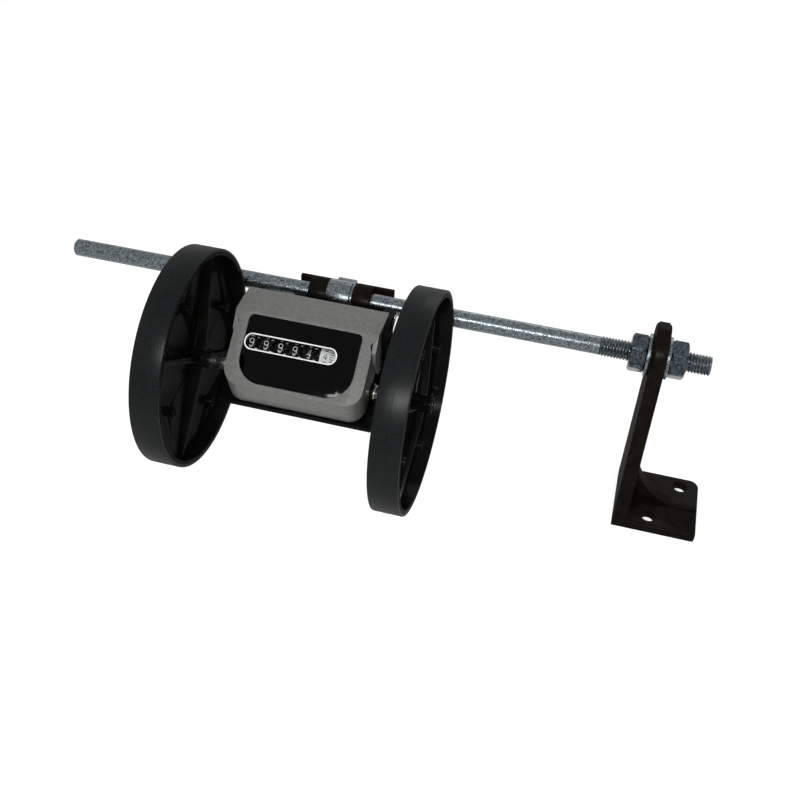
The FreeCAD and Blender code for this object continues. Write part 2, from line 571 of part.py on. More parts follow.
os.makedirs("parts", exist_ok=True)
for name, shape in parts.items():
    shape.exportStep("parts/%s.step" % name)
    print(name, shape.ShapeType, "solids", len(shape.Solids), "valid", shape.isValid(), "volume", round(shape.Volume, 1))
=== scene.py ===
import bpy
import json
import math
from mathutils import Matrix, Vector

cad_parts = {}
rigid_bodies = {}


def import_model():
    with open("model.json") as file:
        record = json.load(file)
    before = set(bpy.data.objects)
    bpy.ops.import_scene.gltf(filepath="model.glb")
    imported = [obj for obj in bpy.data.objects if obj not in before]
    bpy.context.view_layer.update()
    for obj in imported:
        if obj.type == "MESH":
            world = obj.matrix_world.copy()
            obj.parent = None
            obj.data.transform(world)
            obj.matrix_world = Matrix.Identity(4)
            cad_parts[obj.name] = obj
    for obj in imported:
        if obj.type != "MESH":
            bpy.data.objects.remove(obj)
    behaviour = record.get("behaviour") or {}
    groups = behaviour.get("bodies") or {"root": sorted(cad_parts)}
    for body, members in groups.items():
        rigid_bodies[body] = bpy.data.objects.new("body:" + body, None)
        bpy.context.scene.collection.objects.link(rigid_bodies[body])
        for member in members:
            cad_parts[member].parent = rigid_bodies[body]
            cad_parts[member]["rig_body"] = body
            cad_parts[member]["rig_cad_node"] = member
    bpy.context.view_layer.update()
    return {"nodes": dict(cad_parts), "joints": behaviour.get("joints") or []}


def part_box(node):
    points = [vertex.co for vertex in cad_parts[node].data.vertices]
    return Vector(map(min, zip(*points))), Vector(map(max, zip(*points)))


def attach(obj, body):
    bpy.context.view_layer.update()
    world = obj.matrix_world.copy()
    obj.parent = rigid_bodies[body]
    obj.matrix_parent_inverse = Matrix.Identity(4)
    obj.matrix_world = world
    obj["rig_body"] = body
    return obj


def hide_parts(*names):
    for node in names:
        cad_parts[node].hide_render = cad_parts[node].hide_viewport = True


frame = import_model()

# Studio. The camera stands where the photograph was taken from, to the right of the counter and
# above it, a little rolled. The floor is pale. The main lamp is a long low box near the camera, so
# that its glints run along the rod, and three large weak lamps fill the sides and the back.
CAMERA_AT = (-0.0503, -0.4211, 0.4059)
CAMERA_TURN = (49.50, -2.487, 14.748)
CAMERA_LENS = 47.1
AIM = Vector((-0.17, -0.03, 0.08))
FLOOR_SIZE = 6.0
FLOOR_TONE = 0.60
FLOOR_GLOW = 0.68
WORLD_FILL = 0.38
SENSOR_WIDTH = 36.0
NEAREST = 0.01
FLOOR_ROUGHNESS = 0.9
FLOOR_GLOSS = 0.1

camera_data = bpy.data.cameras.new("camera")
camera_data.lens = CAMERA_LENS
camera_data.sensor_width = SENSOR_WIDTH
camera_data.clip_start = NEAREST
camera = bpy.data.objects.new("camera", camera_data)
camera.location = CAMERA_AT
camera.rotation_euler = [math.radians(a) for a in CAMERA_TURN]
bpy.context.scene.collection.objects.link(camera)
bpy.context.scene.camera = camera
bpy.context.scene.view_settings.view_transform = "Standard"


def lamp(name, place, width, height, power):
    # Soft box of this size that points at the counter.
    data = bpy.data.lights.new(name, "AREA")
    data.shape = "RECTANGLE"
    data.size = width
    data.size_y = height
    data.energy = power
    thing = bpy.data.objects.new(name, data)
    thing.location = place
    thing.rotation_euler = (AIM - Vector(place)).to_track_quat("-Z", "Y").to_euler()
    bpy.context.scene.collection.objects.link(thing)


lamp("lamp_main", (-0.10, -0.52, 0.47), 0.32, 0.04, 2.6)
lamp("lamp_left", (-0.95, -0.25, 0.40), 0.50, 0.50, 0.9)
lamp("lamp_right", (0.80, -0.05, 0.30), 0.40, 0.40, 0.9)
lamp("lamp_back", (0.05, 0.75, 0.50), 0.60, 0.40, 1.2)


def seen_directly(nodes):
    # 1 for rays from the camera and for mirrored or passing rays, 0 for scattered light.
    path = nodes.new("ShaderNodeLightPath")
    first = nodes.new("ShaderNodeMath")
    first.operation = "MAXIMUM"
    both = nodes.new("ShaderNodeMath")
    both.operation = "MAXIMUM"
    links = nodes.id_data.links
    links.new(path.outputs["Is Camera Ray"], first.inputs[0])
    links.new(path.outputs["Is Glossy Ray"], first.inputs[1])
    links.new(first.outputs[0], both.inputs[0])
    links.new(path.outputs["Is Transmission Ray"], both.inputs[1])
    return both.outputs[0]


world = bpy.data.worlds.new("studio")
bpy.context.scene.world = world
world.use_nodes = True
backdrop = world.node_tree.nodes["Background"]
backdrop.inputs["Color"].default_value = (1, 1, 1, 1)
strength = world.node_tree.nodes.new("ShaderNodeMapRange")
strength.inputs["To Min"].default_value = WORLD_FILL
strength.inputs["To Max"].default_value = 1.0
world.node_tree.links.new(seen_directly(world.node_tree.nodes), strength.inputs["Value"])
world.node_tree.links.new(strength.outputs[0], backdrop.inputs["Strength"])

bpy.ops.mesh.primitive_plane_add(size=FLOOR_SIZE, location=(AIM.x, AIM.y, 0))
floor = bpy.context.object
floor.name = "floor"
floor_paint = bpy.data.materials.new("pale_floor")
floor_paint.use_nodes = True
floor_nodes = floor_paint.node_tree.nodes
floor_shader = floor_nodes["Principled BSDF"]
floor_shader.inputs["Base Color"].default_value = (FLOOR_TONE, FLOOR_TONE, FLOOR_TONE, 1)
floor_shader.inputs["Roughness"].default_value = FLOOR_ROUGHNESS
floor_shader.inputs["Specular IOR Level"].default_value = FLOOR_GLOSS
floor_shader.inputs["Emission Color"].default_value = (1, 1, 1, 1)
glow = floor_nodes.new("ShaderNodeMath")
glow.operation = "MULTIPLY"
glow.inputs[1].default_value = FLOOR_GLOW
floor_paint.node_tree.links.new(seen_directly(floor_nodes), glow.inputs[0])
floor_paint.node_tree.links.new(glow.outputs[0], floor_shader.inputs["Emission Strength"])
floor.data.materials.append(floor_paint)


# Support rod. A long steel rod of 9 mm with an M10 thread rolled on one end, zinc plated: bluish,
# mottled and bright along the top. It carries everything, and the foot holds its threaded end.
ROD_AXIS_Z = 0.0985
SHANK_R = 0.0045
THREAD_R = 0.0050
THREAD_ROOT_R = 0.00425
THREAD_PITCH = 0.0015
THREAD_LENGTH = 0.054
END_CHAMFER = 0.0009
RUNOUT = 0.001
CREST_DROP = 0.00004
FLANK_START = 0.00058
CREST_MIDDLE = 0.00068
FLANK_END = 0.00078
ROOT_START = 0.00136
THREAD_STEPS = 40
ENVELOPE_R = 0.0052
ENVELOPE_START_R = 0.0042
ENVELOPE_START = 0.0012
ENVELOPE_END = 0.0011
END_DROP = 0.0003


def tone(red, green, blue):
    # A colour as it is seen on a screen, 0 to 255, turned into the light that it stands for.
    return [((c / 255) ** 2.2) for c in (red, green, blue)] + [1.0]


def finish(name, dark, light, patch, grain, rough, bump, metallic=0.0, gloss=0.5, skin=0.0):
    # Finish whose colour drifts between two tones over patches, with a fine grain in gloss and height.
    # patch and grain are sizes in metres, rough is (smooth, rough), bump is a height in metres, and
    # skin is how much of a glossy skin the surface has.
    material = bpy.data.materials.new(name)
    material.use_nodes = True
    nodes = material.node_tree.nodes
    links = material.node_tree.links
    shader = nodes["Principled BSDF"]
    shader.inputs["Metallic"].default_value = metallic
    shader.inputs["Specular IOR Level"].default_value = gloss
    shader.inputs["Coat Weight"].default_value = skin
    place = nodes.new("ShaderNodeTexCoord")
    patches = nodes.new("ShaderNodeTexNoise")
    patches.inputs["Scale"].default_value = 1 / patch
    patches.inputs["Detail"].default_value = 6.0
    patches.inputs["Roughness"].default_value = 0.62
    links.new(place.outputs["Object"], patches.inputs["Vector"])
    ramp = nodes.new("ShaderNodeValToRGB")
    ramp.color_ramp.elements[0].position = 0.32
    ramp.color_ramp.elements[0].color = dark
    ramp.color_ramp.elements[1].position = 0.68
    ramp.color_ramp.elements[1].color = light
    links.new(patches.outputs["Fac"], ramp.inputs["Fac"])
    links.new(ramp.outputs["Color"], shader.inputs["Base Color"])
    grains = nodes.new("ShaderNodeTexNoise")
    grains.inputs["Scale"].default_value = 1 / grain
    grains.inputs["Detail"].default_value = 4.0
    links.new(place.outputs["Object"], grains.inputs["Vector"])
    spread = nodes.new("ShaderNodeMapRange")
    spread.inputs["From Min"].default_value = 0.35
    spread.inputs["From Max"].default_value = 0.65
    spread.inputs["To Min"].default_value = rough[0]
    spread.inputs["To Max"].default_value = rough[1]
    links.new(grains.outputs["Fac"], spread.inputs["Value"])
    links.new(spread.outputs[0], shader.inputs["Roughness"])
    links.new(spread.outputs[0], shader.inputs["Coat Roughness"])
    height = nodes.new("ShaderNodeBump")
    height.inputs["Distance"].default_value = bump
    height.inputs["Strength"].default_value = 1.0
    links.new(grains.outputs["Fac"], height.inputs["Height"])
    links.new(height.outputs["Normal"], shader.inputs["Normal"])
    links.new(height.outputs["Normal"], shader.inputs["Coat Normal"])
    return material


def select_only(piece):
    bpy.ops.object.select_all(action="DESELECT")
    piece.select_set(True)
    bpy.context.view_layer.objects.active = piece


def apply_all(piece, *kinds):
    # Applies the modifiers of these kinds, or all of them, in their order.
    select_only(piece)
    for modifier in list(piece.modifiers):
        if not kinds or modifier.type in kinds:
            bpy.ops.object.modifier_apply(modifier=modifier.name)


def trace(name, points):
    # An open line: one vertex that is extruded from point to point. It is left in edit mode.
    bpy.ops.object.select_all(action="DESELECT")
    bpy.ops.mesh.primitive_plane_add(size=1.0, location=(0, 0, 0))
    piece = bpy.context.object
    piece.name = name
    bpy.ops.object.mode_set(mode="EDIT")
    bpy.ops.mesh.select_all(action="SELECT")
    bpy.ops.mesh.merge(type="CENTER")
    at = Vector((0, 0, 0))
    for count, point in enumerate(points):
        step = Vector(point) - at
        if count == 0:
            bpy.ops.transform.translate(value=step)
        else:
            bpy.ops.mesh.extrude_region_move(TRANSFORM_OT_translate={"value": step})
        at = Vector(point)
    return piece


def draw_line(name, points):
    # An open line in the plane of X and Z.
    piece = trace(name, [(x, 0, z) for x, z in points])
    bpy.ops.object.mode_set(mode="OBJECT")
    return piece


def lathe(name, points, centre, steps=96):
    # Turned piece: a closed outline of (place along X, radius), spun about the line through centre.
    piece = draw_line(name, list(points) + [points[0]])
    bpy.ops.object.mode_set(mode="EDIT")
    bpy.ops.mesh.select_all(action="SELECT")
    bpy.ops.mesh.spin(steps=steps, angle=2 * math.pi, center=(0, 0, 0), axis=(1, 0, 0))
    bpy.ops.mesh.select_all(action="SELECT")
    bpy.ops.mesh.remove_doubles(threshold=1e-6)
    bpy.ops.mesh.normals_make_consistent(inside=False)
    bpy.ops.object.mode_set(mode="OBJECT")
    piece.location = (0, centre[0], centre[1])
    select_only(piece)
    bpy.ops.object.transform_apply(location=True, rotation=True, scale=True)
    return piece


def smooth(piece, angle=35):
    select_only(piece)
    bpy.ops.object.shade_smooth_by_angle(angle=math.radians(angle))


def round_edges(piece, width, segments=2, angle=32):
    # Breaks every edge sharper than the angle, as a tool, a mould or a coat of paint leaves it.
    bevel = piece.modifiers.new("edges", "BEVEL")
    bevel.width = width
    bevel.segments = segments
    bevel.limit_method = "ANGLE"
    bevel.angle_limit = math.radians(angle)
    bevel.use_clamp_overlap = True
    bevel.loop_slide = True
    apply_all(piece, "BEVEL")
    smooth(piece)


def fit(piece, body, slot, material, *nodes):
    # Gives a finished piece its surface and its body, and lets it stand for the nodes it was made after.
    piece.data.materials.clear()
    piece.data.materials.append(material)
    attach(piece, body)
    if nodes:
        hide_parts(*nodes)


def boolean(piece, other, operation):
    # Cuts, joins or intersects, and takes the other piece away.
    cut = piece.modifiers.new("cut", "BOOLEAN")
    cut.operation = operation
    cut.solver = "EXACT"
    cut.object = other
    apply_all(piece, "BOOLEAN")
    bpy.data.objects.remove(other)


zinc = finish("zinc_plate", tone(40, 46, 50), tone(124, 132, 136), 0.0011, 0.0005,
              (0.18, 0.38), 0.00004, metallic=1.0)
rod_low, rod_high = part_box("support_rod")
thread_start = rod_high.x - THREAD_LENGTH
rod = lathe("rod", [(rod_low.x, 0.0), (rod_low.x, SHANK_R - END_CHAMFER),
                    (rod_low.x + END_CHAMFER, SHANK_R),
                    (thread_start, SHANK_R), (thread_start + RUNOUT, THREAD_ROOT_R),
                    (thread_start + RUNOUT, 0.0)], (0, ROD_AXIS_Z))
turns = int(THREAD_LENGTH / THREAD_PITCH) + 3
thread = draw_line("thread", [(THREAD_ROOT_R, 0), (THREAD_R - CREST_DROP, FLANK_START),
                              (THREAD_R, CREST_MIDDLE), (THREAD_R - CREST_DROP, FLANK_END),
                              (THREAD_ROOT_R, ROOT_START), (THREAD_ROOT_R, THREAD_PITCH)])
winding = thread.modifiers.new("winding", "SCREW")
winding.axis = "Z"
winding.screw_offset = THREAD_PITCH
winding.iterations = turns
winding.steps = THREAD_STEPS
winding.render_steps = THREAD_STEPS
winding.use_merge_vertices = True
winding.merge_threshold = 1e-6
apply_all(thread)
thread.rotation_euler = (0, math.radians(90), 0)
thread.location = (thread_start - THREAD_PITCH, 0, ROD_AXIS_Z)
select_only(thread)
bpy.ops.object.transform_apply(location=True, rotation=True, scale=True)
bpy.ops.object.mode_set(mode="EDIT")
for x, outer in ((thread_start, False), (rod_high.x, True)):
    bpy.ops.mesh.select_all(action="SELECT")
    bpy.ops.mesh.bisect(plane_co=(x, 0, 0), plane_no=(1, 0, 0), use_fill=True,
                        clear_inner=not outer, clear_outer=outer)
bpy.ops.mesh.select_all(action="SELECT")
bpy.ops.mesh.normals_make_consistent(inside=False)
bpy.ops.object.mode_set(mode="OBJECT")
envelope = lathe("envelope", [(thread_start - RUNOUT, 0.0), (thread_start - RUNOUT, ENVELOPE_START_R),
                              (thread_start + ENVELOPE_START, ENVELOPE_R),
                              (rod_high.x - ENVELOPE_END, ENVELOPE_R),
                              (rod_high.x, THREAD_ROOT_R - END_DROP), (rod_high.x, 0.0)], (0, ROD_AXIS_Z))
boolean(thread, envelope, "INTERSECT")
select_only(rod)
thread.select_set(True)
bpy.ops.object.join()
smooth(rod, 40)
fit(rod, "stand", "zinc_steel", zinc, "support_rod")


# Foot bracket. One black enamelled casting: an upright arm with a round top, a foot plate with two
# bolt holes, a curved gusset and the low ridge that carries it on. The enamel has a brown cast.
def dressed(node, edge, segments=2, angle=32):
    # The node's own shape, its triangles merged into whole faces and its edges rounded.
    source = frame["nodes"][node]
    piece = source.copy()
    piece.data = source.data.copy()
    piece.name = node + "_piece"
    piece.parent = None
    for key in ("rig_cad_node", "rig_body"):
        del piece[key]
    bpy.context.scene.collection.objects.link(piece)
    select_only(piece)
    bpy.ops.object.mode_set(mode="EDIT")
    bpy.ops.mesh.select_all(action="SELECT")
    bpy.ops.mesh.customdata_custom_splitnormals_clear()
    bpy.ops.mesh.remove_doubles(threshold=2e-6)
    bpy.ops.mesh.dissolve_limited(angle_limit=math.radians(0.6))
    bpy.ops.object.mode_set(mode="OBJECT")
    round_edges(piece, edge, segments, angle)
    return piece


FOOT_EDGE = 0.0007

enamel = finish("black_enamel", tone(17, 15, 13), tone(29, 25, 22), 0.005, 0.0008,
                (0.20, 0.36), 0.00003, gloss=0.0, skin=0.08)
bracket = dressed("foot_bracket", FOOT_EDGE, 3)
fit(bracket, "stand", "black_casting", enamel, "foot_bracket")


# Washers and nuts of the rod's threaded end, M10, zinc plated, the nuts darker than the rod. Each nut
# has the turned crown of a real one, and one washer lies on each face of the arm.
NUT_FLATS = 0.017
NUT_TURN = 12.0
NUT_BORE_R = 0.0046
CROWN_SHARE = 0.96
CROWN_SLOPE = 30
WASHER_BORE_R = 0.0050
WASHER_R = 0.0105
WASHER_EDGE = 0.00025
NUT_EDGE = 0.00022

nut_zinc = finish("dark_zinc", tone(16, 20, 24), tone(84, 93, 99), 0.0012, 0.0005,
                  (0.16, 0.34), 0.00004, metallic=1.0)
for side in ("inner", "outer"):
    low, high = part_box(side + "_washer")
    washer = lathe(side + "_washer_piece", [(low.x, WASHER_BORE_R), (low.x, WASHER_R), (high.x, WASHER_R),
                                            (high.x, WASHER_BORE_R)], (0, ROD_AXIS_Z))
    round_edges(washer, WASHER_EDGE)
    fit(washer, "stand", "zinc_steel", zinc, side + "_washer")
    low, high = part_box(side + "_nut")
    bpy.ops.object.select_all(action="DESELECT")
    bpy.ops.mesh.primitive_cylinder_add(vertices=6, radius=NUT_FLATS / math.sqrt(3), depth=high.x - low.x,
                                        location=((low.x + high.x) / 2, 0, ROD_AXIS_Z),
                                        rotation=(0, math.radians(90), 0))
    nut = bpy.context.object
    nut.name = side + "_nut_piece"
    bpy.ops.object.transform_apply(location=True, rotation=True, scale=True)
    bpy.ops.object.mode_set(mode="EDIT")
    bpy.ops.mesh.select_all(action="SELECT")
    bpy.ops.transform.rotate(value=math.radians(-NUT_TURN), orient_axis="X",
                             center_override=(low.x, 0, ROD_AXIS_Z))
    bpy.ops.object.mode_set(mode="OBJECT")
    crown_r = NUT_FLATS / 2 * CROWN_SHARE
    corner_r = NUT_FLATS / math.sqrt(3)
    fall = (corner_r - crown_r) * math.tan(math.radians(CROWN_SLOPE))
    crown = lathe("crown", [(low.x, NUT_BORE_R), (low.x, crown_r), (low.x + fall, corner_r),
                            (high.x - fall, corner_r), (high.x, crown_r), (high.x, NUT_BORE_R)],
                  (0, ROD_AXIS_Z))
    boolean(nut, crown, "INTERSECT")
    round_edges(nut, NUT_EDGE)
    fit(nut, "stand", "zinc_steel", nut_zinc, side + "_nut")


# Collar on the rod, between the saddle's lugs: a zinc-plated set collar, a thin ring beside it, and
# a square-headed set screw at the back.
COLLAR_EDGE = 0.0003

for node in ("rod_collar", "collar_ring", "collar_screw"):
    part = dressed(node, COLLAR_EDGE)
    fit(part, "collar", "zinc_steel", zinc, node)


# Saddle. Black enamelled casting of a pad, two webs and a trough with two lugs round the rod, held
# on the chassis by two screws. A bright steel pin crosses the counter's upper rear corner.
SADDLE_EDGE = 0.0005
SCREW_EDGE = 0.0002

steel = finish("turned_steel", tone(128, 128, 126), tone(176, 176, 172), 0.003, 0.0005,
               (0.18, 0.32), 0.00001, metallic=1.0)
saddle = dressed("saddle", SADDLE_EDGE)
fit(saddle, "counter", "black_casting", enamel, "saddle")
for node in ("saddle_screws", "side_pin"):
    part = dressed(node, SCREW_EDGE)
    fit(part, "counter", "steel", steel, node)


# Chassis. Black moulded plastic: floor, back wall and two side plates with bosses for the shafts.
# Ribs stand out round the rear of each side, with two pockets between them.
MM = 0.001
RIM_OUTLINE = [(15.2, -10.4), (20.9, -10.4), (25.8, -4.9), (25.8, 18.8), (30.8, 22.2), (30.8, 26.4),
               (23.3, 27.2), (16.8, 27.2), (13.2, 24.5), (12.9, 22.5), (15.2, 14.2)]
POCKETS = [[(17.0, 21.0), (24.0, 21.0), (23.4, 25.0), (16.6, 25.0)],
           [(17.2, 7.0), (23.8, 7.0), (23.8, 19.2), (16.8, 19.2)]]
RIM_INNER = 33.8
RIM_OUTER = 35.9
POCKET_INNER = 33.0
POCKET_OUTER = 37.0
CHASSIS_EDGE = 0.0003
RIM_EDGE = 0.0004

joints = {joint["name"]: joint for joint in frame["joints"]}
axle = Vector(joints["wheel_spin"]["pos_m"])
chassis_black = finish("chassis_black", tone(14, 14, 14), tone(24, 24, 24), 0.010, 0.0004,
                       (0.30, 0.50), 0.00002, gloss=0.0, skin=0.12)
chassis = dressed("rear_base", CHASSIS_EDGE)
fit(chassis, "counter", "base_black", chassis_black, "rear_base")


def side_plate(name, outline, x0, x1):
    # A plate in the plane across the shafts: outline of (back, up) from the wheel shaft, in millimetres.
    piece = trace(name, [(axle.x + x0 * MM, axle.y + back * MM, axle.z + up * MM)
                         for back, up in outline + [outline[0]]])
    bpy.ops.mesh.select_all(action="SELECT")
    bpy.ops.mesh.remove_doubles(threshold=1e-6)
    bpy.ops.mesh.edge_face_add()
    bpy.ops.mesh.extrude_region_move(TRANSFORM_OT_translate={"value": ((x1 - x0) * MM, 0, 0)})
    bpy.ops.mesh.select_all(action="SELECT")
    bpy.ops.mesh.normals_make_consistent(inside=False)
    bpy.ops.object.mode_set(mode="OBJECT")
    return piece


for side, way in (("left", -1), ("right", 1)):
    rim = side_plate(side + "_side_rim", RIM_OUTLINE, way * RIM_INNER, way * RIM_OUTER)
    for pocket in POCKETS:
        cutter = side_plate("pocket", pocket, way * POCKET_INNER, way * POCKET_OUTER)
        boolean(rim, cutter, "DIFFERENCE")
    round_edges(rim, RIM_EDGE)
    fit(rim, "counter", "base_black", chassis_black)


# Front cover. Moulded, and painted a fine-grained satin grey, with a hood over the top, a raised
# front round the window and a tongue down each side.
COVER_EDGE = 0.0006
COVER_CREASE = 25

cover_grey = finish("cover_grey", tone(92, 93, 91), tone(112, 113, 110), 0.0016, 0.00045,
                    (0.34, 0.54), 0.00003, gloss=0.3)
cover = dressed("front_cover", COVER_EDGE, 3, COVER_CREASE)
fit(cover, "counter", "grey_housing", cover_grey, "front_cover")


# Window. A polished black plate with the number slot, the white line printed round the slot, and a
# clear strip over the drums.
READ_ANGLE = math.radians(50)
normal = Vector((0, -math.cos(READ_ANGLE), math.sin(READ_ANGLE)))
upward = Vector((0, math.sin(READ_ANGLE), math.cos(READ_ANGLE)))
PLATE_OUT = 0.0178
SLOT_MIDDLE = -0.00475
LINE_UP = 0.0096
LINE_WIDE = 0.0444
LINE_HIGH = 0.0080
LINE_THICK = 0.00058
LINE_RISE = 0.00008
LINE_FLAT = 0.0002
LENS_GRAIN = 900.0
LENS_HAZE = 0.03
LENS_IOR = 1.1
PANEL_EDGE = 0.0003

window_black = finish("window_black", tone(5, 5, 6), tone(8, 8, 9), 0.02, 0.002,
                      (0.05, 0.09), 0.000002, gloss=0.06)
panel = dressed("window_panel", PANEL_EDGE)
fit(panel, "counter", "window_black", window_black, "window_panel")

to_window = Matrix.Translation(axle) @ Matrix((
    (1, upward.x, normal.x, 0), (0, upward.y, normal.y, 0), (0, upward.z, normal.z, 0), (0, 0, 0, 1)))
print_and_glint_white = finish("print_and_glint_white", tone(226, 228, 228), tone(240, 241, 240), 0.004, 0.0004,
                     (0.35, 0.5), 0.000004)
bpy.ops.object.select_all(action="DESELECT")
bpy.ops.mesh.primitive_plane_add(size=1.0, location=(0, 0, 0))
line = bpy.context.object
line.name = "slot_line"
bpy.ops.object.mode_set(mode="EDIT")
bpy.ops.mesh.select_all(action="SELECT")
bpy.ops.transform.resize(value=(LINE_WIDE, LINE_HIGH, 1))
bpy.ops.mesh.bevel(offset=LINE_HIGH / 2 - LINE_FLAT, segments=10, affect="VERTICES")
bpy.ops.mesh.select_all(action="SELECT")
bpy.ops.mesh.inset(thickness=LINE_THICK)
bpy.ops.mesh.delete(type="FACE")
bpy.ops.mesh.select_all(action="SELECT")
bpy.ops.mesh.extrude_region_move(TRANSFORM_OT_translate={"value": (0, 0, LINE_RISE)})
bpy.ops.mesh.select_all(action="SELECT")
bpy.ops.mesh.normals_make_consistent(inside=False)
bpy.ops.object.mode_set(mode="OBJECT")
line.matrix_world = to_window @ Matrix.Translation((SLOT_MIDDLE, LINE_UP, PLATE_OUT))
select_only(line)
bpy.ops.object.transform_apply(location=True, rotation=True, scale=True)
fit(line, "counter", "drum_white", print_and_glint_white)

lens_clear = bpy.data.materials.new("lens_clear")
lens_clear.use_nodes = True
lens_shader = lens_clear.node_tree.nodes["Principled BSDF"]
lens_shader.inputs["Base Color"].default_value = (0.97, 0.98, 0.98, 1)
lens_shader.inputs["Transmission Weight"].default_value = 1.0
lens_shader.inputs["IOR"].default_value = LENS_IOR
lens_noise = lens_clear.node_tree.nodes.new("ShaderNodeTexNoise")
lens_noise.inputs["Scale"].default_value = LENS_GRAIN
lens_place = lens_clear.node_tree.nodes.new("ShaderNodeTexCoord")
lens_spread = lens_clear.node_tree.nodes.new("ShaderNodeMapRange")
lens_spread.inputs["To Min"].default_value = 0.0
lens_spread.inputs["To Max"].default_value = LENS_HAZE
lens_clear.node_tree.links.new(lens_place.outputs["Object"], lens_noise.inputs["Vector"])
lens_clear.node_tree.links.new(lens_noise.outputs["Fac"], lens_spread.inputs["Value"])
lens_clear.node_tree.links.new(lens_spread.outputs[0], lens_shader.inputs["Roughness"])


def paint(node, material):
    # Gives a node that is shown as it is its surface.
    mesh = frame["nodes"][node].data
    mesh.materials.clear()
    mesh.materials.append(material)


paint("slot_lens", lens_clear)


# Number drums. Black moulded drums with white digits, and a white one with black digits at the
# right end. Each has ten digits round it, printed in thin strokes, and marks between them. White
# dashes on the black drums are painted glints of the carry teeth beside them.
DRUM_R = 0.0087
DIGIT_HIGH = 0.0037
DIGIT_WIDE = 0.0019
LAST_DIGIT_HIGH = 0.0029
LAST_DIGIT_WIDE = 0.0018
READ_LIFT = 3.5
PRINT_LIFT = 0.00001
DASH_LIFT = 0.00004
STRIPS = 9
TENTH = 36
BAR_UP = 21.5
# Angle and inset of the painted glints of the carry teeth on the black drums.
GLINT_UP = 18
GLINT_IN = 0.0006
SCALE_MARKS = 50
SCALE_AT = 0.0030
LAST_DIGIT_AT = 0.0040
COLLAR_WIDE = 0.0014
COLLAR_DEEP = 0.0008
COLLAR_RISE = 0.00004
COLLAR_OUT = 0.00002
BAR_WIDE = 0.0014
GLINT_WIDE = 0.0012
BAR_HIGH = 0.0003
LAST_BAR_WIDE = 0.0015
LAST_BAR_HIGH = 0.0004
SCALE_WIDE = 0.0018
SCALE_HIGH = 0.00034
DRUM_NAMES = ["ten_thousands", "thousands", "hundreds", "tens", "units", "tenths"]
SHOWN = [9, 9, 9, 9, 4, 4]

drum_black = finish("drum_black", tone(10, 10, 11), tone(16, 16, 17), 0.004, 0.0004,
                    (0.35, 0.5), 0.000006, gloss=0.1)
drum_white = finish("drum_white", tone(224, 225, 222), tone(238, 238, 235), 0.004, 0.0004,
                    (0.4, 0.55), 0.000006)
nylon = finish("nylon", tone(206, 202, 188), tone(226, 222, 210), 0.003, 0.0004,
               (0.35, 0.5), 0.000006)


def wrapped(piece, high, angle):
    # Cuts flat print across into strips, bends it round the drum and turns it to its angle in degrees.
    select_only(piece)
    bpy.ops.object.mode_set(mode="EDIT")
    for strip in range(-(STRIPS // 2), STRIPS // 2 + 1):
        bpy.ops.mesh.select_all(action="SELECT")
        bpy.ops.mesh.bisect(plane_co=(0, strip * high / STRIPS, 0), plane_no=(0, 1, 0))
    bpy.ops.object.mode_set(mode="OBJECT")
    for vertex in piece.data.vertices:
        around = vertex.co.y / DRUM_R
        reach = DRUM_R + PRINT_LIFT + vertex.co.z
        vertex.co = (vertex.co.x, reach * math.sin(around), reach * math.cos(around))
    piece.data.transform(Matrix.Rotation(math.radians(angle), 4, "X"))
    return piece


def bow(x, y, across, tall, start, end):
    # Points of an arc of an ellipse, from one angle to another in degrees.
    count = max(3, int(abs(end - start) / 20))
    angles = [math.radians(start + (end - start) * i / count) for i in range(count + 1)]
    return [(x + across * math.cos(a), y + tall * math.sin(a)) for a in angles]


# The digits in one thin stroke each, or two, in a field of 1 by 2.
NINE = bow(0.5, 1.42, 0.5, 0.58, 0, 360) + [(1.0, 0.6)] + bow(0.5, 0.58, 0.5, 0.58, -10, -150)
STROKES = [
    [bow(0.5, 1.0, 0.5, 1.0, 90, 450)],
    [[(0.2, 1.6), (0.55, 2.0), (0.55, 0.0)]],
    [bow(0.5, 1.45, 0.5, 0.55, 165, -40) + [(0.0, 0.0), (1.0, 0.0)]],
    [bow(0.5, 1.5, 0.45, 0.5, 150, -90) + bow(0.5, 0.52, 0.5, 0.52, 80, -150)],
    [[(0.7, 0.0), (0.7, 2.0), (0.0, 0.55), (1.0, 0.55)]],
    [[(0.92, 2.0), (0.15, 2.0), (0.08, 1.1)] + bow(0.5, 0.62, 0.5, 0.62, 120, -150)],
    [[(1.0 - x, 2.0 - y) for x, y in NINE]],
    [[(0.0, 2.0), (1.0, 2.0), (0.35, 0.0)]],
    [bow(0.5, 1.5, 0.42, 0.5, 0, 360), bow(0.5, 0.5, 0.5, 0.5, 0, 360)],
    [NINE],
]
STROKE_R = 0.00017
LAST_STROKE_R = 0.00024
STROKE_FLATTEN = 0.3


def digit(figure, wide, high, stroke_r):
    # One digit, its strokes flattened, at its size and bent round the drum at its tenth of a turn.
    curve = bpy.data.curves.new("digit", "CURVE")
    curve.dimensions = "3D"
    curve.bevel_depth = stroke_r
    curve.bevel_resolution = 1
    for stroke in STROKES[figure]:
        spline = curve.splines.new("POLY")
        spline.points.add(len(stroke) - 1)
        for point, (x, y) in zip(spline.points, stroke):
            point.co = ((x - 0.5) * wide, (y - 1.0) * high / 2, 0, 1)
    piece = bpy.data.objects.new("digit", curve)
    bpy.context.scene.collection.objects.link(piece)
    select_only(piece)
    bpy.ops.object.convert(target="MESH")
    piece = bpy.context.object
    piece.data.transform(Matrix.Diagonal((1, 1, STROKE_FLATTEN, 1)))
    return wrapped(piece, high, TENTH * figure)


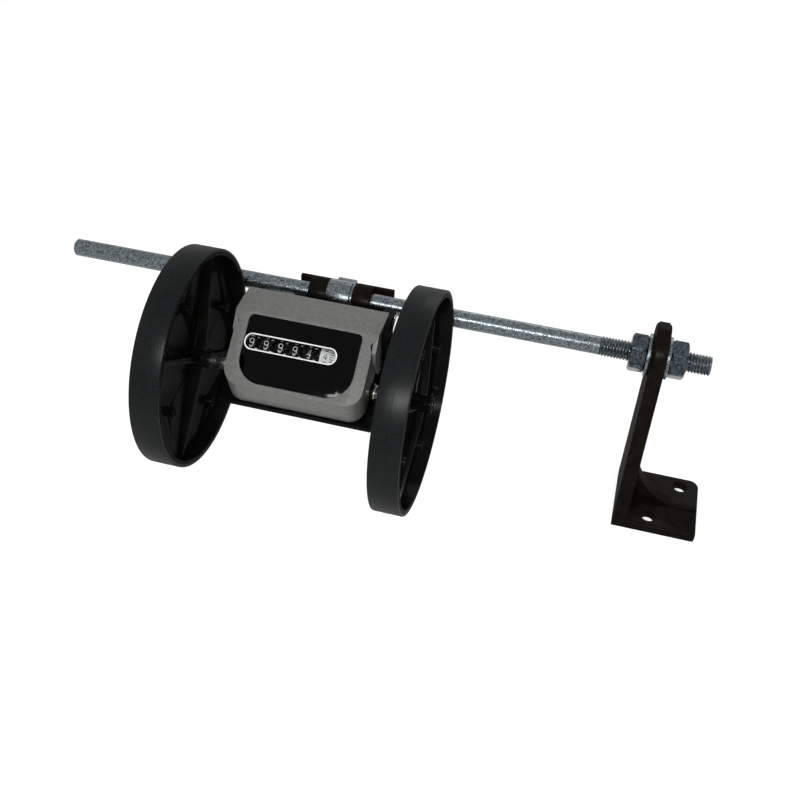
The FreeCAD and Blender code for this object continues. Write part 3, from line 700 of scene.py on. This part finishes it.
def dash(x, wide, high, angle):
    # A short line across the drum at this place and angle, for printed bars and marks and for painted
    # glints.
    bpy.ops.object.select_all(action="DESELECT")
    bpy.ops.mesh.primitive_plane_add(size=1.0, location=(0, 0, 0))
    piece = bpy.context.object
    piece.data.transform(Matrix.Translation((x, 0, DASH_LIFT)) @ Matrix.Diagonal((wide, high, 1, 1)))
    return wrapped(piece, high, angle)


def printed(name, marks):
    # Joins marks into one piece.
    bpy.ops.object.select_all(action="DESELECT")
    for mark in marks:
        mark.select_set(True)
    bpy.context.view_layer.objects.active = marks[0]
    bpy.ops.object.join()
    marks[0].name = name
    return marks[0]


# The five black drums share one print: ten digits and a bar over each digit. With it goes a short
# white dash on the right between two digits, a painted glint of the carry tooth beside the drum. The
# white drum has smaller digits, bars between them and a scale.
low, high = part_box("drum_units")
edge = (high.x - low.x) / 2
digit_ring = printed("digit_ring", [digit(figure, DIGIT_WIDE, DIGIT_HIGH, STROKE_R) for figure in range(10)]
                     + [dash(0.0, BAR_WIDE, BAR_HIGH, TENTH * k - BAR_UP) for k in range(10)]
                     # Painted glints: white dashes where the carry teeth beside each black drum catch the
                     # light.
                     + [dash(edge - GLINT_IN, GLINT_WIDE, BAR_HIGH, TENTH * k - GLINT_UP) for k in range(10)])
scale_ring = printed("scale_ring", [digit(figure, LAST_DIGIT_WIDE, LAST_DIGIT_HIGH, LAST_STROKE_R)
                                    for figure in range(10)]
                     + [dash(0.0, LAST_BAR_WIDE, LAST_BAR_HIGH, TENTH * k + TENTH / 2) for k in range(10)]
                     + [dash(SCALE_AT, SCALE_WIDE, SCALE_HIGH, 360 / SCALE_MARKS * k)
                        for k in range(SCALE_MARKS)])
facing = math.radians(90) - READ_ANGLE
for name, shown in zip(DRUM_NAMES, SHOWN):
    node = "drum_" + name
    white = name == "tenths"
    paint(node, drum_white if white else drum_black)
    low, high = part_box(node)
    centre = Vector(joints[node + "_turn"]["pos_m"])
    source = scale_ring if white else digit_ring
    ring = source.copy()
    ring.data = source.data.copy()
    ring.name = node + "_digits"
    bpy.context.scene.collection.objects.link(ring)
    middle = low.x + LAST_DIGIT_AT if white else (low.x + high.x) / 2
    spin = Matrix.Rotation(facing - math.radians(TENTH * shown + READ_LIFT), 4, "X")
    ring.data.transform(Matrix.Translation((middle, centre.y, centre.z)) @ spin)
    fit(ring, node, "drum_black" if white else "drum_white", drum_black if white else print_and_glint_white)
bpy.data.objects.remove(digit_ring)
bpy.data.objects.remove(scale_ring)
low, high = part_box("drum_tenths")
centre = Vector(joints["drum_tenths_turn"]["pos_m"])
collar_r = DRUM_R + COLLAR_RISE
collar = lathe("drum_tenths_collar", [(low.x - COLLAR_OUT, DRUM_R - COLLAR_DEEP),
                                      (low.x - COLLAR_OUT, collar_r),
                                      (low.x + COLLAR_WIDE, collar_r),
                                      (low.x + COLLAR_WIDE, DRUM_R - COLLAR_DEEP)], (centre.y, centre.z))
fit(collar, "drum_tenths", "drum_black", drum_black)
for node in ["tenths_gear"] + ["carry_pinion_%d" % i for i in range(1, 6)]:
    paint(node, nylon)


# Shafts, bushes and sleeves. Turned steel shafts run in sintered bronze bushes with thrust washers,
# and a sleeve keeps each wheel at its distance. The drums' two shafts are fixed.
SHAFT_EDGE = 0.00012

bronze = finish("oiled_bronze", tone(26, 23, 20), tone(40, 36, 30), 0.002, 0.0003,
                (0.30, 0.45), 0.00001, metallic=1.0)
for node in ("drum_shaft", "pinion_shaft"):
    paint(node, steel)
for node in ("left_bush", "right_bush"):
    part = dressed(node, SHAFT_EDGE)
    fit(part, "counter", "bronze", bronze, node)
for node in ("wheel_shaft", "shaft_washers", "left_spacer", "right_spacer", "drive_pinion"):
    part = dressed(node, SHAFT_EDGE)
    fit(part, "wheels", "steel", steel, node)


# Wheels. Glossy black mouldings: hub, thin web, four ribs and four short tubes on the dished side,
# and a rim.
WHEEL_EDGE = 0.00025

wheel_black = finish("wheel_black", tone(16, 16, 15), tone(26, 25, 24), 0.012, 0.0009,
                     (0.12, 0.22), 0.00002, gloss=0.0, skin=0.06)
for side in ("left", "right"):
    part = dressed(side + "_wheel", WHEEL_EDGE)
    fit(part, "wheels", "wheel_black", wheel_black, side + "_wheel")


# Tread bands. Satin charcoal plastic, a little mottled, pressed on the wheels' rims. The mould's
# parting line runs round the middle of each.
SEAM_WIDE = 0.00025
SEAM_RISE = 0.00006
SEAM_DEEP = 0.0002
SEAM_STEPS = 192
TREAD_EDGE = 0.0004

tread_grey = finish("tread_grey", tone(13, 15, 16), tone(23, 26, 27), 0.0014, 0.0005,
                    (0.26, 0.36), 0.00005, gloss=0.0, skin=0.24)
for side in ("left", "right"):
    part = dressed(side + "_tread", TREAD_EDGE)
    fit(part, "wheels", "tread_grey", tread_grey, side + "_tread")
    low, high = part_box(side + "_tread")
    middle = (low.x + high.x) / 2
    tread_r = (high.z - low.z) / 2
    seam = lathe(side + "_tread_seam", [(middle - SEAM_WIDE, tread_r - SEAM_DEEP),
                                        (middle, tread_r + SEAM_RISE),
                                        (middle + SEAM_WIDE, tread_r - SEAM_DEEP)],
                 (axle.y, axle.z), SEAM_STEPS)
    smooth(seam)
    fit(seam, "wheels", "tread_grey", tread_grey)
